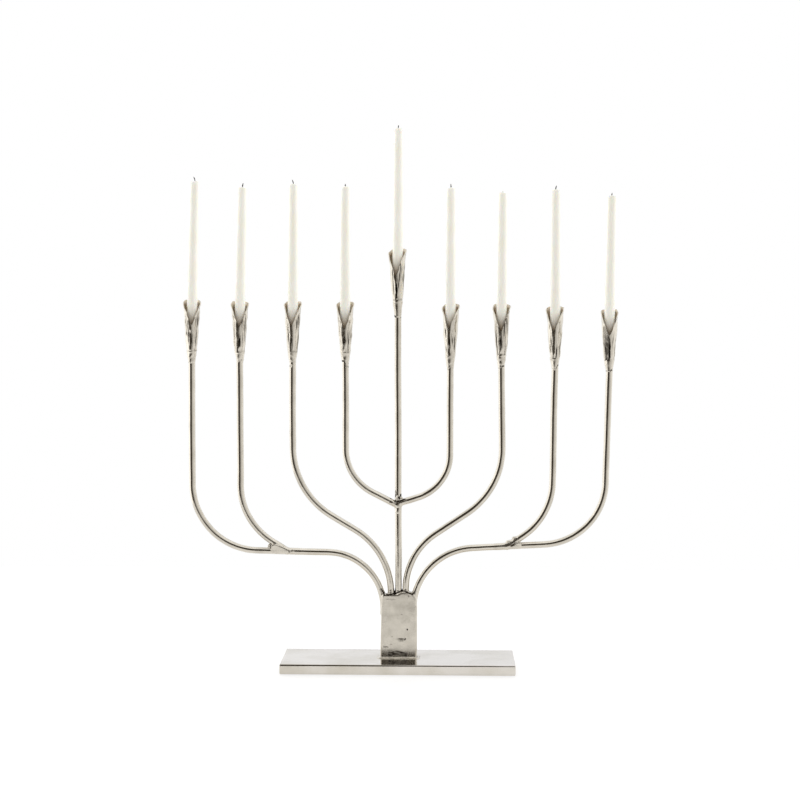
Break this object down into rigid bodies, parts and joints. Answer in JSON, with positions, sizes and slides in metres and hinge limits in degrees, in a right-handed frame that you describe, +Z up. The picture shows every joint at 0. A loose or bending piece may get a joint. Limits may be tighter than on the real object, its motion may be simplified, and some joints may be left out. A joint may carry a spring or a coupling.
{
  "type": "nine-branch menorah",
  "caption": "Nine-branch menorah: nickel rods fan out from a flat neck on a bar base, each ending in a rolled lily-shaped cup that holds a thin candle with a wick.",
  "frame": {"origin": "middle of the felt's underside, on the surface that the menorah stands on", "axes": "+Z up along the centre rod, +X along the row of cups to the right as seen from the front, -Y to the front, where the cups' notches open"},
  "size_m": [0.413, 0.075, 0.5168],
  "materials": {
    "nickel": "hand-polished nickel plate with a warm tone and dark oxide in its creases",
    "weld": "lumpy weld metal, plated with the rest, satin and darker",
    "wax": "ivory paraffin wax, slightly translucent",
    "cotton": "braided cotton wick, charred at its tip",
    "felt": "thin dark wool felt, glued on"
  },
  "bodies": {
    "stand": {"base_felt": "felt", "base_plate": "nickel", "neck": "nickel", "centre_rod": "nickel", "inner_left_rod": "nickel", "inner_right_rod": "nickel", "outer_left_rod": "nickel", "outer_right_rod": "nickel", "branch_left_rod": "nickel", "branch_right_rod": "nickel", "cross_left_rod": "nickel", "cross_right_rod": "nickel", "cup_1": "nickel", "cup_2": "nickel", "cup_3": "nickel", "cup_4": "nickel", "cup_5": "nickel", "cup_6": "nickel", "cup_7": "nickel", "cup_8": "nickel", "cup_9": "nickel", "neck_foot_weld": "weld", "neck_weld_front": "weld", "neck_weld_back": "weld", "branch_left_weld": "weld", "branch_right_weld": "weld", "cross_left_weld": "weld", "cross_right_weld": "weld", "cup_weld_1": "weld", "cup_weld_2": "weld", "cup_weld_3": "weld", "cup_weld_4": "weld", "cup_weld_5": "weld", "cup_weld_6": "weld", "cup_weld_7": "weld", "cup_weld_8": "weld", "cup_weld_9": "weld"},
    "candle_1": {"candle_1": "wax", "wick_1": "cotton"},
    "candle_2": {"candle_2": "wax", "wick_2": "cotton"},
    "candle_3": {"candle_3": "wax", "wick_3": "cotton"},
    "candle_4": {"candle_4": "wax", "wick_4": "cotton"},
    "candle_5": {"candle_5": "wax", "wick_5": "cotton"},
    "candle_6": {"candle_6": "wax", "wick_6": "cotton"},
    "candle_7": {"candle_7": "wax", "wick_7": "cotton"},
    "candle_8": {"candle_8": "wax", "wick_8": "cotton"},
    "candle_9": {"candle_9": "wax", "wick_9": "cotton"}
  },
  "joints": [
    {"name": "candle_1_lift", "type": "slide", "parent": "stand", "child": "candle_1", "axis": [0.0262, 0, 0.9997], "range_m": [0, 0.05]},
    {"name": "candle_2_lift", "type": "slide", "parent": "stand", "child": "candle_2", "axis": [0.0227, 0, 0.9997], "range_m": [0, 0.05]},
    {"name": "candle_3_lift", "type": "slide", "parent": "stand", "child": "candle_3", "axis": [0.007, 0, 1], "range_m": [0, 0.05]},
    {"name": "candle_4_lift", "type": "slide", "parent": "stand", "child": "candle_4", "axis": [0, 0, 1], "range_m": [0, 0.05]},
    {"name": "candle_5_lift", "type": "slide", "parent": "stand", "child": "candle_5", "axis": [0.0035, 0, 1], "range_m": [0, 0.05]},
    {"name": "candle_6_lift", "type": "slide", "parent": "stand", "child": "candle_6", "axis": [0, 0, 1], "range_m": [0, 0.05]},
    {"name": "candle_7_lift", "type": "slide", "parent": "stand", "child": "candle_7", "axis": [0.0052, 0, 1], "range_m": [0, 0.05]},
    {"name": "candle_8_lift", "type": "slide", "parent": "stand", "child": "candle_8", "axis": [-0.0017, 0, 1], "range_m": [0, 0.05]},
    {"name": "candle_9_lift", "type": "slide", "parent": "stand", "child": "candle_9", "axis": [0.0087, 0, 1], "range_m": [0, 0.05]}
  ]
}
